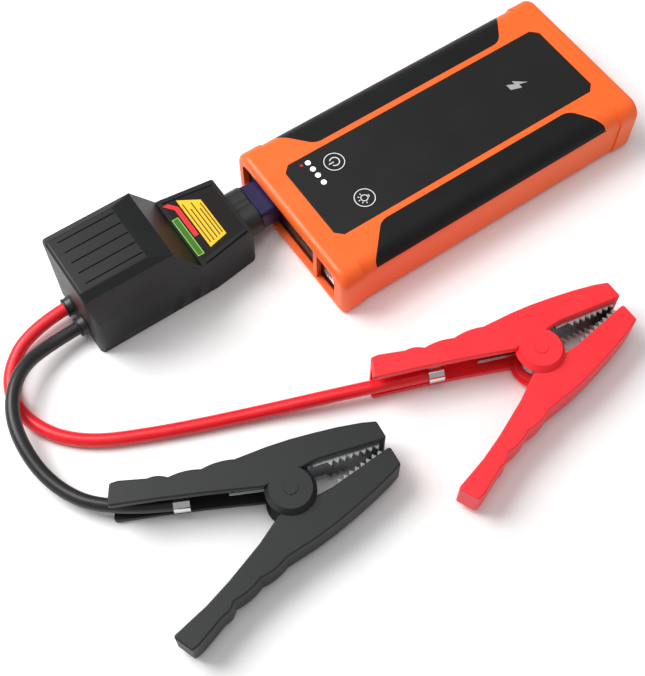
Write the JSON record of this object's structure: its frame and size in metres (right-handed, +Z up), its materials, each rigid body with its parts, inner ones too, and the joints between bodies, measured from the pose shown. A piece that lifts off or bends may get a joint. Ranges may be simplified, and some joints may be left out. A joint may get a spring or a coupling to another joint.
{
  "type": "jump starter pack",
  "caption": "Flat orange and black power bank with flush buttons and a plug-in clamp lead: control box, red and black cables, toothed battery clamps.",
  "frame": {"origin": "centre of the power bank's underside", "axes": "+X along the bank, away from its ports; +Y away from its front long side; +Z up"},
  "size_m": [0.3335, 0.2006, 0.047],
  "materials": {
    "orange_plastic": "moulded ABS, fine texture",
    "black_plastic": "moulded, fine texture",
    "soft_black": "soft-touch",
    "clear_plastic": "clear, polished",
    "blue_plastic": "moulded nylon",
    "gold_metal": "plated",
    "steel": "plated sheet steel",
    "spring_steel": "drawn wire",
    "cell_foil": "laminate pouch",
    "foam": "closed-cell foam",
    "board_green": "solder mask",
    "reflector": "metallised",
    "label": "printed film",
    "red_plastic": "moulded ABS",
    "red_rubber": "silicone jacket",
    "black_rubber": "silicone jacket",
    "screw_steel": "zinc plated"
  },
  "bodies": {
    "power_bank": {"lower_shell": "orange_plastic", "upper_shell": "orange_plastic", "side_grip_front": "soft_black", "side_grip_back": "soft_black", "top_panel": "black_plastic", "charge_light_guides": "clear_plastic", "port_panel": "black_plastic", "clamp_socket": "blue_plastic", "socket_contacts": "gold_metal", "usb_c_socket": "steel", "usb_a_socket": "steel", "torch_lens": "clear_plastic", "torch_reflector": "reflector", "torch_board": "board_green", "battery_cells": "cell_foil", "cell_pad": "foam", "main_board": "board_green", "board_components": "black_plastic", "tact_switches": "black_plastic", "busbars": "gold_metal", "case_screws": "screw_steel"},
    "power_button": {"power_button": "black_plastic"},
    "light_button": {"light_button": "black_plastic"},
    "clamp_lead": {"plug_pins": "gold_metal", "plug_housing": "blue_plastic", "plug_neck": "black_rubber", "control_box_upper": "black_plastic", "control_box_lower": "black_plastic", "control_box_label": "label", "control_board": "board_green", "power_relays": "black_plastic", "box_screws": "screw_steel", "cable_grommets": "black_rubber", "red_cable": "red_rubber", "black_cable": "black_rubber", "red_cable_arm": "red_plastic", "red_cable_jaw": "steel", "red_pivot_pin": "red_plastic", "red_torsion_spring": "spring_steel", "red_crimp_clip": "steel", "black_cable_arm": "black_plastic", "black_cable_jaw": "steel", "black_pivot_pin": "black_plastic", "black_torsion_spring": "spring_steel", "black_crimp_clip": "steel"},
    "red_lever": {"red_lever_arm": "red_plastic", "red_lever_jaw": "steel"},
    "black_lever": {"black_lever_arm": "black_plastic", "black_lever_jaw": "steel"}
  },
  "joints": [
    {"name": "power_button_press", "type": "slide", "parent": "power_bank", "child": "power_button", "axis": [0, 0, -1], "range_m": [0, 0.0006], "stiffness_N_per_m": 2500, "springref_m": -0.0004},
    {"name": "light_button_press", "type": "slide", "parent": "power_bank", "child": "light_button", "axis": [0, 0, -1], "range_m": [0, 0.0006], "stiffness_N_per_m": 2500, "springref_m": -0.0004},
    {"name": "plug_slide", "type": "slide", "parent": "power_bank", "child": "clamp_lead", "axis": [-1, 0, 0], "range_m": [0, 0.028]},
    {"name": "red_lever_hinge", "type": "hinge", "parent": "clamp_lead", "child": "red_lever", "pos_m": [-0.0328, -0.1164, 0.011], "axis": [0, 0, -1], "range_deg": [0, 30], "stiffness_Nm_per_rad": 0.45, "springref_deg": -34.38, "deforming": ["red_torsion_spring"]},
    {"name": "black_lever_hinge", "type": "hinge", "parent": "clamp_lead", "child": "black_lever", "pos_m": [-0.1595, -0.1084, 0.011], "axis": [0, 0, -1], "range_deg": [0, 30], "stiffness_Nm_per_rad": 0.45, "springref_deg": -34.38, "deforming": ["black_torsion_spring"]}
  ]
}
